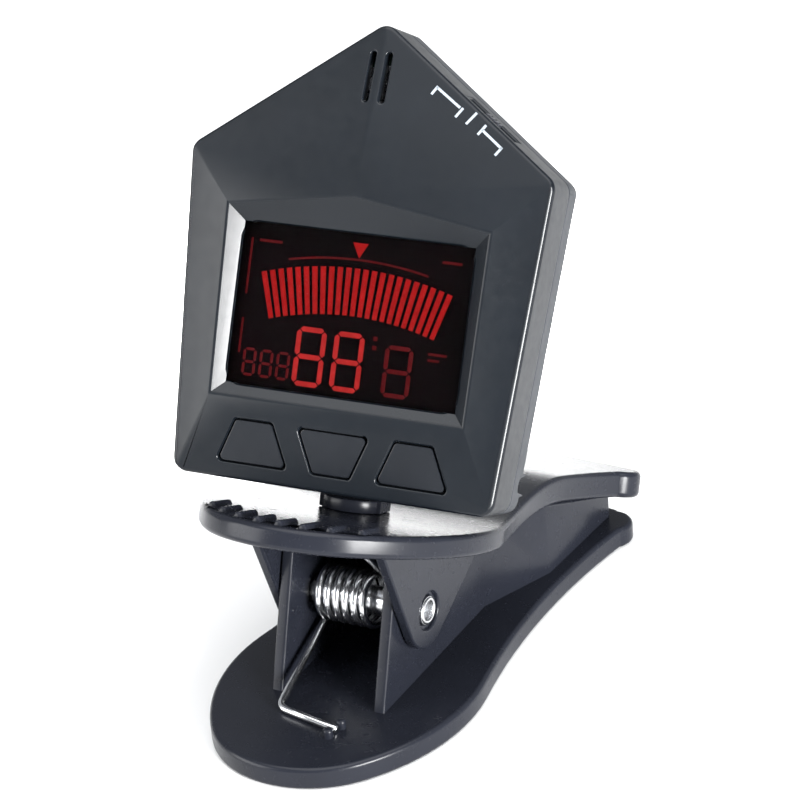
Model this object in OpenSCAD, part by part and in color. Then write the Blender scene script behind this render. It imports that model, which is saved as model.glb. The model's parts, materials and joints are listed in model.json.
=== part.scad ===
// Clip-on tuner for stringed instruments: a five-sided head with a display, carried by a
// swivelling and tilting neck on the handle of a sprung clip.
// Frame: X across the clip, Y along it (handles at -Y, jaws at +Y), Z up.
// The pivot pin of the clip lies on y = 0 and the flat underside of the clip lies on z = 0.

/* [Head] */
// Half the width of the head across its shoulders
head_shoulder_half = 19; // [17.5:0.5:23]
// Half the width of the head along its bottom edge
head_bottom_half = 16.9; // [15.8:0.1:21]
// Height of the shoulders above the bottom edge
head_shoulder_h = 32.7; // [31.5:0.1:40]
// Height of the peak above the bottom edge
head_peak_h = 46.5; // [44.5:0.5:56]
// Radius of the corners of the head
head_corner_r = 1.6; // [1:0.1:2.4]
// Depth of the side walls, from the rim of the face to the back
head_depth = 9.2; // [9:0.1:12]
// Distance from the rim of the face to the seam between the two housings
seam_depth = 5.5; // [4.8:0.1:6.2]
// Wall thickness of the two housings
shell_wall = 1.3; // [1:0.1:1.5]
// Height that the ridge of the face reaches above its rim at the window
face_rise = 3.8; // [2.4:0.1:4]

/* [Display] */
// Width of the window
window_w = 24.2; // [20:0.1:26]
// Height of the window
window_h = 16.2; // [13:0.1:17.5]
// Height of the middle of the window above the bottom edge
window_y = 17.6; // [17:0.1:18.5]
// Corner radius of the window
window_r = 1.6; // [0.8:0.1:3]
// Thickness of the window lens
lens_t = 0.8; // [0.6:0.1:0.9]
// Thickness of the display panel
lcd_t = 1.3; // [1:0.1:1.4]
// Thickness of the circuit board
board_t = 0.8; // [0.6:0.1:1]

/* [Buttons and switch] */
// Distance from the middle button to each outer button
button_pitch = 8.4; // [8:0.1:9.2]
// Length of the long side of a button
button_long = 7.2; // [6:0.1:7.6]
// Length of the short side of a button
button_short = 3.8; // [3:0.1:5]
// Height of a button
button_h = 4.2; // [3.4:0.1:4.6]
// Height of the middle of the buttons above the bottom edge
button_y = 3.9; // [3.7:0.1:4.4]
// Travel of a button
button_travel = 0.4; // [0.2:0.05:0.5]
// Distance from the peak to the middle of the slide switch, along the roof edge
switch_from_peak = 14; // [12:0.5:15]
// Distance between two neighbouring positions of the slide switch
switch_step = 1.5; // [1:0.1:1.7]

/* [Battery] */
// Diameter of the coin cell
cell_d = 20; // [16:0.5:20]
// Thickness of the coin cell
cell_t = 3.2; // [1.6:0.1:3.2]
// Height of the middle of the coin cell above the bottom edge
cell_y = 22; // [21:0.5:24]

/* [Neck] */
// Angle that the head is turned about the neck
swivel_angle = 8.7; // [-30:0.1:30]
// Angle that the head leans back from square to the handle
tilt_angle = 3.4; // [-4:0.1:20]
// Distance from the pivot pin to the neck, along the handle
neck_y = 3.5; // [3.4:0.1:5]
// Diameter of the neck post
neck_d = 6.6; // [6:0.1:7.4]
// Height of the tilt pin above the handle
tilt_pin_h = 4.85; // [4.8:0.05:6]
// Diameter of the tilt pin
tilt_pin_d = 1.5; // [1.2:0.1:1.8]
// Thickness of the tongue around the tilt pin
tongue_t = 3.2; // [2.8:0.1:3.4]

/* [Clip] */
// Height of the pivot pin above the underside of the clip
pivot_z = 9.9; // [9.4:0.1:11.5]
// Diameter of the pivot pin
pin_d = 3; // [2.4:0.1:3.4]
// Angle between the two handles with the jaws closed
handle_angle = 22.5; // [18:0.5:26]
// Half the width of the lower handle
paddle_half = 13.7; // [13:0.1:17]
// Half the width of the upper handle
upper_half = 14.8; // [14:0.1:17]
// Distance from the pivot to the tip of the lower handle
lower_tip = 21; // [19:0.1:25]
// Distance from the pivot to the tip of the upper handle
upper_tip = 22; // [20:0.1:26]
// Half the width of the clip at its waist
waist_half = 11.8; // [10.8:0.1:12.6]
// Distance from the pivot to the end of the jaws
jaw_len = 40.2; // [37:0.1:48]
// Thickness of the lower lever's base plate
base_t = 2.4; // [1.8:0.1:3]
// Thickness of the upper lever's handle
plate_t = 2.3; // [2:0.1:3]
// Thickness of the upper lever's jaw
jaw_t = 2.9; // [2.4:0.1:3.4]
// Distance from the pivot to the underside of the upper handle
plate_h = 7.2; // [7:0.1:8]
// Height that the underside of the upper jaw stands above the underside of its handle
plate_step = 2.9; // [2:0.1:4]
// Distance from the middle of the clip to the outer face of a cheek
cheek_half = 6.6; // [6.4:0.1:7.4]
// Thickness of the cheeks
cheek_t = 1.3; // [1.1:0.1:1.6]
// Thickness of the ears of the upper lever
ear_t = 1.15; // [1:0.05:1.4]

/* [Spring and pads] */
// Diameter of the spring wire
wire_d = 0.8; // [0.6:0.05:0.9]
// Outer diameter of the spring coil
coil_d = 6; // [5.4:0.1:6.4]
// Number of turns of the spring
coil_turns = 6; // [4:1:6]
// Distance between neighbouring turns
coil_pitch = 1.1; // [1:0.02:1.2]
// Thickness of the rubber jaw pads
pad_t = 1.3; // [1:0.1:1.5]
// Number of grip ribs on the upper handle
rib_count = 8; // [4:1:9]

/* [Hidden] */
$fn = 48;

eps = 0.01;          // overlap that keeps cuts clean
run_gap = 0.05;      // radial clearance of a pin in its bore
fit_gap = 0.15;      // clearance around a piece that slides or drops in
far = 100;           // larger than the object

// Head: the pieces are built lying flat, face up, with +Y towards the peak and z = 0 at the rim
head_points = [[-head_bottom_half, 0], [head_bottom_half, 0], [head_shoulder_half, head_shoulder_h],
               [0, head_peak_h], [-head_shoulder_half, head_shoulder_h]];
roof_len = norm([head_shoulder_half, head_peak_h - head_shoulder_h]);
roof_dir = [head_shoulder_half, head_shoulder_h - head_peak_h] / roof_len;
roof_angle = atan2(roof_dir[1], roof_dir[0]);
window_top = window_y + window_h / 2;
window_low = window_y - window_h / 2;
roof_rise_dist = (head_peak_h - window_top) * roof_dir[0];
roof_slope = atan(face_rise / roof_rise_dist);
window_corner_dist = (head_peak_h - window_top) * roof_dir[0] - window_w / 2 * -roof_dir[1];
window_corner_rise = window_corner_dist * tan(roof_slope);
side_half_top = head_bottom_half + (head_shoulder_half - head_bottom_half) * window_top / head_shoulder_h;
side_slope = atan(window_corner_rise / (side_half_top - window_w / 2));
bottom_rise = (head_bottom_half - window_w / 2) * tan(side_slope);
bottom_slope = atan(bottom_rise / window_low);
face_slopes = [bottom_slope, side_slope, roof_slope, roof_slope, side_slope];
back_z = -head_depth;
seam_z = -seam_depth;
edge_chamfer = 0.9;

// Stack inside the head, from the window to the back
lens_z = 0.4;
window_flare = 54;
window_lip = 0.15;
lens_margin = 0.8;
seat_w = 0.7;
seat_top = 3.2;
stack_gap = 0.1;
lcd_z = lens_z - lens_t - stack_gap;
frame_t = 1.3;
frame_z = lcd_z - lcd_t;
board_z = frame_z - frame_t - stack_gap;
board_back = board_z - board_t;
contact_t = 0.5;
cell_z = board_back - contact_t;
cell_back = cell_z - cell_t;
bay_wall = 1;
bay_r = cell_d / 2 + 0.3;
cap_r = bay_r + 1.5;
cap_flange_t = 0.8;
cap_slot_w = 1.5;
cap_slot_len = 12;
piezo_d = 8.6;
piezo_t = 0.2;
mic_d = 4;
contact_w = 2.4;
spring_metal_t = 0.2;
boss_r = 1.5;
boss_points = [[14.3, 7], [14.5, 29.5]];
screw_d = 1.6;
screw_head_d = 2.6;
screw_head_t = 0.8;
screw_reach = 2.4;
drive_w = 0.34;
drive_len = 1.8;
drive_deep = 0.45;

// Buttons and slide switch
button_gap = 0.16;
button_flange = 0.5;
tact_size = 3;
tact_t = 1;
plunger_d = 1.6;
plunger_h = 0.3;
button_proud = 0.12;
knob_grooves = 0.5;
switch_len = 7.4;
switch_wide = 3;
switch_t = 1.6;
knob_len = 1.7;
knob_t = 1.5;
slot_len = knob_len + 2 * switch_step + 2 * fit_gap;
vent_len = 5;
vent_w = 0.55;
vent_pitch = 1.65;
vent_y = 41;

// Neck
hinge_y = 3;
hinge_z = -8;
pocket_half = neck_d / 2 + fit_gap;
pocket_top = hinge_y + tongue_t / 2 + 0.5;
pocket_front = -4.3;
pocket_wall = 1.65;
spigot_d = 4.6;
washer_d = 6.6;
washer_t = 0.4;
swivel_head_d = 3.2;
swivel_play = 0.15;

// Clip
paddle_r = 22;
paddle_y = -3;
waist_y = 18;
jaw_corner_r = 2.6;
jaw_end_r = 45;
upper_short = 1.5;
ear_gap = 0.17;
ear_in = cheek_half + ear_gap;
ear_out = ear_in + ear_t;
ear_r = 4;
ear_front = 11.8;
ear_back = 11.6;
ear_recess = 0.4;
step_start = 1;
step_end = 22;
plate_top = plate_h + plate_t;
wall_gap = 0.45;
flange_lip = 1.7;
jaw_flare = 0.8;
flare_start = 14;
flare_end = 23;
jaw_plate_t = 2.2;
pad_start = 23.5;
pad_end = 36.5;
pad_half = 8;
pad_sink = (wall_gap - 0.06) / 2;
rib_pitch = 2.4;
rib_h = 0.5;
rib_w = 1.1;
rib_len = 3.4;
rib_margin = 1;
coil_r = (coil_d - wire_d) / 2;
coil_half = coil_turns * coil_pitch / 2;
coil_x = -1;

head_grey = "#3a3f49";
head_grey_back = "#434852";
clip_grey = "#33373f";
button_grey = "#2f333b";
steel = "#c9ccd1";

// ---- shared shapes ----

// Direction from point a to point b
function dir(a, b) = (b - a) / norm(b - a);

// Where an arc of radius r in the corner b touches the side towards a
function touch(a, b, c, r) =
    let (u = dir(b, a), v = dir(b, c), half = acos(u * v) / 2) b + u * (r / tan(half));

// Middle of an arc of radius r in the corner b
function corner_mid(a, b, c, r) =
    let (u = dir(b, a), v = dir(b, c), half = acos(u * v) / 2, w = (u + v) / norm(u + v))
    b + w * (r / sin(half));

// A convex outline with every corner rounded by true arcs
module rounded(points, r) {
    n = len(points);
    tangents = [for (i = [0:n - 1])
        let (a = points[(i + n - 1) % n], b = points[i], c = points[(i + 1) % n])
        each [touch(a, b, c, r), touch(c, b, a, r)]];
    polygon(tangents);
    for (i = [0:n - 1])
        translate(corner_mid(points[(i + n - 1) % n], points[i], points[(i + 1) % n], r))
            circle(r);
}

// The points of a convex outline moved inwards by d
function inset_points(points, d) =
    let (n = len(points))
    [for (i = [0:n - 1]) corner_mid(points[(i + n - 1) % n], points[i], points[(i + 1) % n], d)];

// Outline of the head, moved inwards by d
module head_outline(d = 0) {
    rounded(d == 0 ? head_points : inset_points(head_points, d), max(head_corner_r - d, 0.3));
}

// Everything below a plane that rises inwards from the side a-b of the head
module below_slope(a, b, slope, drop = 0) {
    translate([a[0], a[1], -drop])
        rotate([0, 0, atan2(b[1] - a[1], b[0] - a[0])])
            rotate([slope, 0, 0])
                translate([-far, -far, -far]) cube([2 * far, 2 * far, far]);
}

// The solid under the faceted face, from z = low up, moved inwards by d and down by drop
module face_solid(low, d = 0, drop = 0) {
    intersection() {
        translate([0, 0, low]) linear_extrude(far / 2) head_outline(d);
        below_slopes(face_slopes, drop);
    }
}

// Everything below five planes that rise inwards from the sides of the head
module below_slopes(slopes, drop = 0) {
    intersection() {
        below_slope(head_points[0], head_points[1], slopes[0], drop);
        below_slope(head_points[1], head_points[2], slopes[1], drop);
        below_slope(head_points[2], head_points[3], slopes[2], drop);
        below_slope(head_points[3], head_points[4], slopes[3], drop);
        below_slope(head_points[4], head_points[0], slopes[4], drop);
    }
}

// A rectangle with rounded corners around a middle point
module rounded_rect(w, h, r, middle = [0, 0]) {
    translate(middle)
        rounded([[-w / 2, -h / 2], [w / 2, -h / 2], [w / 2, h / 2], [-w / 2, h / 2]], r);
}

// Trapezoid of a button, grown by grow on every side
module button_outline(top, bottom, grow = 0) {
    h = button_h / 2;
    points = [[-bottom / 2, -h], [bottom / 2, -h], [top / 2, h], [-top / 2, h]];
    rounded(inset_points(points, -grow), 0.45);
}

// Places a child at each of the four housing screws
module at_bosses() {
    for (side = [-1, 1])
        for (p = boss_points)
            translate([side * p[0], p[1], 0]) children();
}

// Frame of the slide switch: +X along the roof edge towards the shoulder, +Y out of the head
module at_switch() {
    translate([0, head_peak_h, 0])
        rotate([0, 0, roof_angle])
            translate([switch_from_peak, 0, 0]) children();
}

// Frame of the upper lever: X across, Y along its handle towards the jaws, Z square to it
module on_lever() {
    translate([0, 0, pivot_z]) rotate([-handle_angle, 0, 0]) children();
}

// Frame of the neck: the post stands on z = 0
module on_neck() {
    on_lever() translate([0, -neck_y, plate_top]) rotate([0, 0, swivel_angle]) children();
}

// Frame of the head, from its flat building position
module on_head() {
    on_neck()
        translate([0, 0, tilt_pin_h])
            rotate([-tilt_angle, 0, 0])
                rotate([90, 0, 0])
                    translate([0, -hinge_y, -hinge_z]) children();
}

// Middle of the arc at the tip of a handle, on the Y axis
function tip_mid(half, tip) =
    let (spare = paddle_r - tip)
    (pow(spare, 2) - pow(paddle_r - half, 2) - pow(paddle_y, 2)) / (2 * (spare - paddle_y));

// Edge of a handle's tip at x across
function tip_edge(half, tip, x) =
    let (mid = tip_mid(half, tip))
    max(mid - sqrt(pow(tip + mid, 2) - x * x),
        paddle_y - sqrt(pow(paddle_r, 2) - pow(abs(x) + paddle_r - half, 2)));

// Plan of a lever: an oval handle, a waist and a jaw, all joined by tangent arcs
module lever_plan(half, tip, end, d = 0) {
    side_x = paddle_r - half;
    tip_y = tip_mid(half, tip);
    tip_r = tip + tip_y;
    touch_dir = dir([-side_x, paddle_y], [0, tip_y]);
    touch_y = paddle_y + paddle_r * touch_dir[1];
    reach = waist_half + side_x;
    waist_r = (pow(reach, 2) + pow(waist_y - paddle_y, 2) - pow(paddle_r, 2))
              / (2 * (half - waist_half));
    waist_x = waist_half + waist_r;
    join_dir = dir([-side_x, paddle_y], [waist_x, waist_y]);
    join_y = paddle_y + paddle_r * join_dir[1];
    corner_x = waist_x - sqrt(pow(waist_r, 2) - pow(end - jaw_corner_r - waist_y, 2)) - jaw_corner_r;
    corner_y = end - jaw_end_r + sqrt(pow(jaw_end_r - jaw_corner_r, 2) - pow(corner_x, 2));
    translate([0, tip_y]) circle(tip_r - d, $fn = 96);
    intersection() {
        translate([-side_x, paddle_y]) circle(paddle_r - d, $fn = 128);
        translate([side_x, paddle_y]) circle(paddle_r - d, $fn = 128);
        translate([-far / 2, touch_y]) square([far, join_y - touch_y + eps]);
    }
    difference() {
        translate([-far / 2, join_y]) square([far, corner_y - join_y]);
        for (side = [-1, 1])
            translate([side * waist_x, waist_y]) circle(waist_r + d, $fn = 180);
        for (side = [-1, 1])
            translate([side * (waist_x + far / 2), 0]) square([far, far], center = true);
    }
    intersection() {
        translate([0, end - jaw_end_r]) circle(jaw_end_r - d, $fn = 180);
        translate([-corner_x, corner_y - eps]) square([2 * corner_x, jaw_end_r]);
    }
    for (side = [-1, 1])
        translate([side * corner_x, corner_y]) circle(jaw_corner_r - d);
}

// Height of the upper lever's underside above the pivot, at y along the handle
function lever_under(y) =
    let (t = min(max((y - step_start) / (step_end - step_start), 0), 1))
    plate_h + plate_step * (1 - cos(180 * t)) / 2;

// Height of its top face
function lever_top(y) =
    lever_under(y) + plate_t + (jaw_t - plate_t) * (lever_under(y) - plate_h) / plate_step;

step_points = [for (i = [0:14]) step_start + (step_end - step_start) * i / 14];

// ---- head ----

module front_housing() color(head_grey) on_head() front_housing_flat();

module front_housing_flat() {
    difference() {
        union() {
            difference() {
                face_solid(seam_z);
                face_solid(seam_z - 1, shell_wall, shell_wall);
            }
            intersection() {
                face_solid(seam_z, shell_wall / 2, shell_wall / 2);
                union() {
                    at_bosses() translate([0, 0, seam_z]) cylinder(h = far / 2, r = boss_r);
                    lens_seat();
                }
            }
        }
        translate([0, 0, lens_z - lens_t - eps])
            linear_extrude(far) rounded_rect(window_w, window_h, window_r, [0, window_y]);
        window_cut();
        translate([0, 0, lens_z - lens_t - eps])
            linear_extrude(lens_t + eps)
                rounded_rect(window_w + 2 * lens_margin + fit_gap, window_h + 2 * lens_margin + fit_gap,
                             window_r, [0, window_y]);
        button_holes();
        vents();
        switch_notch();
        at_bosses()
            translate([0, 0, seam_z - 1]) cylinder(h = screw_reach + 1.2, d = screw_d + 2 * run_gap);
        translate([-pocket_half, -1, seam_z - 1])
            cube([2 * pocket_half, pocket_top + 1, pocket_front - seam_z + 1]);
    }
}

// Bevelled surround of the window, rising outwards from the front of the lens
module window_cut() {
    intersection() {
        above_flare(window_w / 2, 0);
        above_flare(window_w / 2, 180);
        above_flare(window_h / 2, 90);
        above_flare(window_h / 2, 270);
    }
}

// Everything above a plane that leans outwards from one side of the window
module above_flare(reach, turn) {
    translate([0, window_y, lens_z + window_lip])
        rotate([0, 0, turn])
            translate([reach, 0, 0])
                rotate([0, window_flare - 90, 0])
                    translate([-far, -far / 2, 0]) cube([2 * far, far, far]);
}

// Frame inside the front housing that holds the edge of the lens and backs its bevelled surround
module lens_seat() {
    reach = lens_margin + seat_w;
    translate([0, 0, lens_z - lens_t])
        linear_extrude(far / 4)
            rounded_rect(window_w + 2 * reach, window_h + reach + seat_top, window_r + 0.4,
                         [0, window_y + (seat_top - reach) / 2]);
}

module button_holes() {
    for (i = [-1:1])
        translate([i * button_pitch, button_y, -far / 2])
            linear_extrude(far)
                button_outline(button_top(i), button_bottom(i), button_gap);
}

function button_top(i) = i == 0 ? button_long : button_short;
function button_bottom(i) = i == 0 ? button_short : button_long;

module vents() {
    for (side = [-1, 1])
        translate([side * vent_pitch / 2, vent_y, -2])
            linear_extrude(far) rounded_rect(vent_w, vent_len, vent_w / 2 - eps);
}

// Shallow recess in the roof wall with a slot for the knob through it
module switch_notch() {
    at_switch() {
        translate([-slot_len / 2 - 0.7, -0.6, board_z - 0.2])
            cube([slot_len + 1.4, 2, switch_t + 0.9]);
        translate([-slot_len / 2, -shell_wall - 1, board_z + switch_t / 2 - knob_t / 2 - fit_gap])
            cube([slot_len, 4, knob_t + 2 * fit_gap]);
    }
}

module rear_housing() color(head_grey_back) on_head() rear_housing_flat();

module rear_housing_flat() {
    difference() {
        union() {
            difference() {
                back_solid();
                translate([0, 0, back_z + shell_wall]) linear_extrude(far) head_outline(shell_wall);
            }
            intersection() {
                translate([0, 0, back_z + eps]) linear_extrude(far) head_outline(shell_wall / 2);
                union() {
                    at_bosses()
                        translate([0, 0, back_z + eps])
                            cylinder(h = head_depth - seam_depth - eps, r = boss_r);
                    translate([0, cell_y, back_z + eps])
                        cylinder(h = cell_z - back_z - 0.4, r = bay_r + bay_wall, $fn = 96);
                    hinge_block();
                }
            }
        }
        translate([0, cell_y, back_z - 1]) cylinder(h = head_depth, r = bay_r, $fn = 96);
        translate([0, cell_y, back_z - 1]) cylinder(h = 1 + cap_flange_t, r = cap_r + run_gap, $fn = 96);
        at_bosses() {
            translate([0, 0, back_z - 1]) cylinder(h = head_depth, d = screw_d + 2 * run_gap);
            translate([0, 0, back_z - 1])
                cylinder(h = 1 + screw_head_t, d = screw_head_d + 2 * run_gap);
        }
        translate([-pocket_half, -1, back_z - 1])
            cube([2 * pocket_half, pocket_top + 1, pocket_front - back_z + 1]);
        translate([-far / 2, hinge_y, hinge_z])
            rotate([0, 90, 0]) cylinder(h = far, d = tilt_pin_d + 2 * run_gap);
    }
}

// Walls beside and above the pocket that the tongue of the neck turns in
module hinge_block() {
    translate([-pocket_half - pocket_wall, eps, back_z + eps])
        cube([2 * (pocket_half + pocket_wall), pocket_top + 1, seam_z - back_z - eps]);
}

// Outer shape of the rear housing, with a chamfer around its back
module back_solid() {
    intersection() {
        translate([0, 0, back_z]) linear_extrude(head_depth - seam_depth) head_outline();
        mirror([0, 0, 1])
            translate([0, 0, head_depth - edge_chamfer]) below_slopes([45, 45, 45, 45, 45]);
    }
}

module display_window() color("#101216") on_head()
    translate([0, 0, lens_z - lens_t])
        linear_extrude(lens_t)
            rounded_rect(window_w + 2 * lens_margin, window_h + 2 * lens_margin, window_r, [0, window_y]);

module display_panel() color("#240508") on_head()
    translate([0, window_y, lcd_z - lcd_t / 2])
        cube([window_w + 1.2, window_h + 1.2, lcd_t], center = true);

module display_frame() color("#e8e6df") on_head()
    translate([-window_w / 2 - 0.6, window_low + 1.3, frame_z - frame_t])
        cube([window_w + 1.2, window_h - 0.7, frame_t]);

module connector_strip() color("#4a4a4c") on_head()
    translate([-window_w / 2 + 0.6, window_low - 0.5, board_z])
        cube([window_w - 1.2, 1.6, frame_z - board_z]);

module circuit_board() color("#1f5a38") on_head()
    translate([0, 0, board_back])
        linear_extrude(board_t)
            difference() {
                head_outline(shell_wall + 0.5);
                at_bosses() circle(boss_r + 0.3);
                for (side = [-1, 1])
                    for (p = boss_points)
                        translate([side * (p[0] + 2), p[1]]) square([4, 2 * (boss_r + 0.3)], center = true);
            }

// A button cap with its flange behind the face and its stem over the switch
module button_flat(i) {
    top = button_top(i);
    bottom = button_bottom(i);
    flange_front = shell_wall + run_gap;
    intersection() {
        union() {
            intersection() {
                translate([i * button_pitch, button_y, -far / 2])
                    linear_extrude(far) button_outline(top, bottom);
                below_slope(head_points[0], head_points[1], bottom_slope, button_proud);
            }
            intersection() {
                translate([i * button_pitch, button_y, -far / 2])
                    linear_extrude(far) button_outline(top, bottom, button_flange);
                below_slope(head_points[0], head_points[1], bottom_slope, flange_front);
            }
        }
        translate([i * button_pitch - far / 2, -far / 2, button_stem_z])
            cube([far, far, far]);
    }
}

// Height of the flat underside of the buttons, clear of the switches by their travel
button_stem_z = board_z + tact_t + plunger_h + button_travel + run_gap;

module left_button() color(button_grey) on_head() button_flat(-1);
module middle_button() color(button_grey) on_head() button_flat(0);
module right_button() color(button_grey) on_head() button_flat(1);

module button_switches() color("#b9bcc2") on_head()
    for (i = [-1:1])
        translate([i * button_pitch, button_y, board_z]) {
            translate([-tact_size / 2, -tact_size / 2, 0]) cube([tact_size, tact_size, tact_t]);
            translate([0, 0, tact_t - eps]) cylinder(h = plunger_h + eps, d = plunger_d);
        }

module switch_body() color("#aeb2b8") on_head()
    at_switch()
        translate([-switch_len / 2, -shell_wall - 0.2 - switch_wide, board_z])
            difference() {
                cube([switch_len, switch_wide, switch_t]);
                translate([switch_len / 2 - slot_len / 2, switch_wide - 1.2, switch_t / 2 - knob_t / 4])
                    cube([slot_len, 2, knob_t / 2]);
            }

module switch_knob() color("#202329") on_head()
    at_switch() translate([0, 0, board_z + switch_t / 2]) {
        difference() {
            translate([-knob_len / 2, -shell_wall - 0.1, -knob_t / 2])
                cube([knob_len, shell_wall + 0.1 + 0.05, knob_t]);
            for (i = [-1:1])
                translate([i * knob_grooves - 0.1, -0.1, -knob_t]) cube([0.2, 1, 2 * knob_t]);
        }
        translate([-knob_len / 4, -shell_wall - 1.2, -knob_t / 4 + 0.08])
            cube([knob_len / 2, 1.3, knob_t / 2 - 0.16]);
    }

module microphone() color("#8d9096") on_head()
    translate([0, vent_y - 0.6, board_z])
        difference() {
            cylinder(h = mic_h, d = mic_d);
            translate([0, 0, mic_h - 0.2]) cylinder(h = 1, d = mic_d - 1.4);
        }

mic_h = (head_peak_h - vent_y) * roof_dir[0] * tan(roof_slope) - shell_wall - board_z - 0.5;

module piezo_disc() color("#c7a24a") on_head()
    translate([0, cell_y + bay_r + bay_wall + piezo_d / 2 + 0.4, back_z + shell_wall + eps]) {
        cylinder(h = piezo_t, d = piezo_d);
        translate([0, 0, piezo_t - eps]) cylinder(h = piezo_t, d = piezo_d - 2.6);
    }

module coin_cell() color("#cfd2d6") on_head()
    translate([0, cell_y, cell_back])
        rotate_extrude($fn = 96)
            polygon([[0, 0], [cell_d / 2 - 0.2, 0], [cell_d / 2, 0.2], [cell_d / 2, cell_t - 0.7],
                     [cell_d / 2 - 0.9, cell_t - 0.7], [cell_d / 2 - 1.3, cell_t], [0, cell_t]]);

module cell_spring_contact() color(steel) on_head()
    translate([-3, cell_y - contact_w / 2, cell_z]) {
        cube([6, contact_w, spring_metal_t]);
        cube([1.6, contact_w, contact_t]);
    }

module cell_side_contact() color(steel) on_head()
    translate([0, cell_y, 0])
        rotate([0, 0, -125])
            translate([cell_d / 2 + 0.02, -contact_w / 2, 0]) {
                translate([0, 0, cell_back + 1.4])
                    cube([spring_metal_t, contact_w, board_back - cell_back - 1.4]);
                translate([0, 0, board_back - spring_metal_t]) cube([2.2, contact_w, spring_metal_t]);
            }

module battery_cap() color(head_grey_back) on_head()
    translate([0, cell_y, back_z])
        difference() {
            union() {
                cylinder(h = cap_flange_t - 0.03, r = cap_r, $fn = 96);
                cylinder(h = cell_back - back_z - 0.15, r = bay_r - run_gap, $fn = 96);
            }
            translate([0, 0, cap_flange_t]) cylinder(h = far, r = bay_r - 1.1, $fn = 96);
            translate([-cap_slot_len / 2, -cap_slot_w / 2, -1])
                cube([cap_slot_len, cap_slot_w, 1 + drive_deep]);
        }

module housing_screws() color(steel) on_head()
    at_bosses() translate([0, 0, back_z]) {
        difference() {
            translate([0, 0, 0.1]) cylinder(h = screw_head_t - 0.1, d = screw_head_d);
            drive_cross(0);
        }
        translate([0, 0, screw_head_t - eps])
            cylinder(h = head_depth - seam_depth - screw_head_t + screw_reach, d = screw_d);
    }

// Cross recess of a screw, from z = low up
module drive_cross(low) {
    translate([-drive_len / 2, -drive_w / 2, low]) cube([drive_len, drive_w, drive_deep]);
    translate([-drive_w / 2, -drive_len / 2, low]) cube([drive_w, drive_len, drive_deep]);
}

// ---- neck ----

module tilt_pin() color(steel) on_head()
    translate([-pocket_half - pocket_wall, hinge_y, hinge_z])
        rotate([0, 90, 0]) cylinder(h = 2 * (pocket_half + pocket_wall), d = tilt_pin_d);

module swivel_post() color(clip_grey) on_neck()
    difference() {
        union() {
            translate([0, 0, run_gap]) cylinder(h = tilt_pin_h - hinge_y - 0.5 - run_gap, d = neck_d);
            translate([0, 0, -plate_t - swivel_play]) cylinder(h = plate_t + 1, d = spigot_d);
            intersection() {
                union() {
                    translate([-neck_d / 2, -tongue_t / 2, run_gap])
                        cube([neck_d, tongue_t, tilt_pin_h - run_gap]);
                    translate([-neck_d / 2, 0, tilt_pin_h])
                        rotate([0, 90, 0]) cylinder(h = neck_d, d = tongue_t);
                }
                translate([-neck_d / 2, -neck_d / 2, 0]) cube([neck_d, neck_d, far]);
            }
        }
        translate([-far / 2, 0, tilt_pin_h])
            rotate([0, 90, 0]) cylinder(h = far, d = tilt_pin_d + 2 * run_gap);
        translate([0, 0, -plate_t - 1]) cylinder(h = screw_reach + 1.4, d = screw_d + 2 * run_gap);
    }

module swivel_washer() color(steel) on_neck()
    translate([0, 0, -plate_t - swivel_play - washer_t])
        difference() {
            cylinder(h = washer_t, d = washer_d);
            translate([0, 0, -1]) cylinder(h = 3, d = screw_d + 2 * run_gap);
        }

module swivel_screw() color(steel) on_neck()
    translate([0, 0, -plate_t - swivel_play - washer_t]) {
        difference() {
            translate([0, 0, -1]) cylinder(h = 1, d = swivel_head_d);
            drive_cross(-1);
        }
        translate([0, 0, -eps]) cylinder(h = washer_t + screw_reach, d = screw_d);
    }

// ---- clip ----

module upper_lever() color(clip_grey) on_lever()
    difference() {
        union() {
            intersection() {
                linear_extrude(far) lever_plan(upper_half, upper_tip, jaw_len - upper_short);
                lever_profile();
            }
            for (side = [-1, 1])
                translate([side > 0 ? ear_in : -ear_out, 0, 0]) ear();
            handle_ribs();
        }
        translate([-far / 2, 0, 0]) rotate([0, 90, 0]) cylinder(h = far, d = pin_d + 2 * run_gap);
        for (side = [-1, 1])
            translate([side * (ear_out + 0.5), 0, 0])
                rotate([0, 90, 0]) cylinder(h = 1 + 2 * ear_recess, d = pin_d + 1, center = true);
        translate([0, -neck_y, 0]) cylinder(h = far, d = spigot_d + 2 * run_gap);
        pad_box(lever_under(pad_start) - 1, pad_t - pad_sink + 1, fit_gap / 2);
    }

// The side view of the upper lever
module lever_profile() {
    under = [[-far, plate_h], each [for (y = step_points) [y, lever_under(y)]], [far, plate_h + plate_step]];
    top = [for (i = [len(under) - 1:-1:0]) [under[i][0], lever_top(under[i][0])]];
    translate([-far / 2, 0, 0])
        rotate([90, 0, 90]) linear_extrude(far) polygon(concat(under, top));
}

// One ear, reaching from the underside of the plate down to the pivot
module ear() {
    front_angle = tangent_angle(ear_front);
    back_angle = tangent_angle(ear_back);
    rotate([90, 0, 90])
        linear_extrude(ear_t) {
            circle(ear_r);
            polygon([ear_r * [-cos(front_angle), -sin(front_angle)],
                     ear_r * [cos(back_angle), -sin(back_angle)],
                     [ear_back, plate_h], [ear_back, lever_under(ear_back) + plate_t / 2],
                     [0, plate_h + plate_t / 2], [-ear_front, plate_h + plate_t / 2],
                     [-ear_front, plate_h]]);
        }
}

// Angle at which a line from (reach, plate_h) touches the round end of the ear
function tangent_angle(reach) =
    let (d = norm([reach, plate_h])) acos(ear_r / d) - atan2(plate_h, reach);

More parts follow.
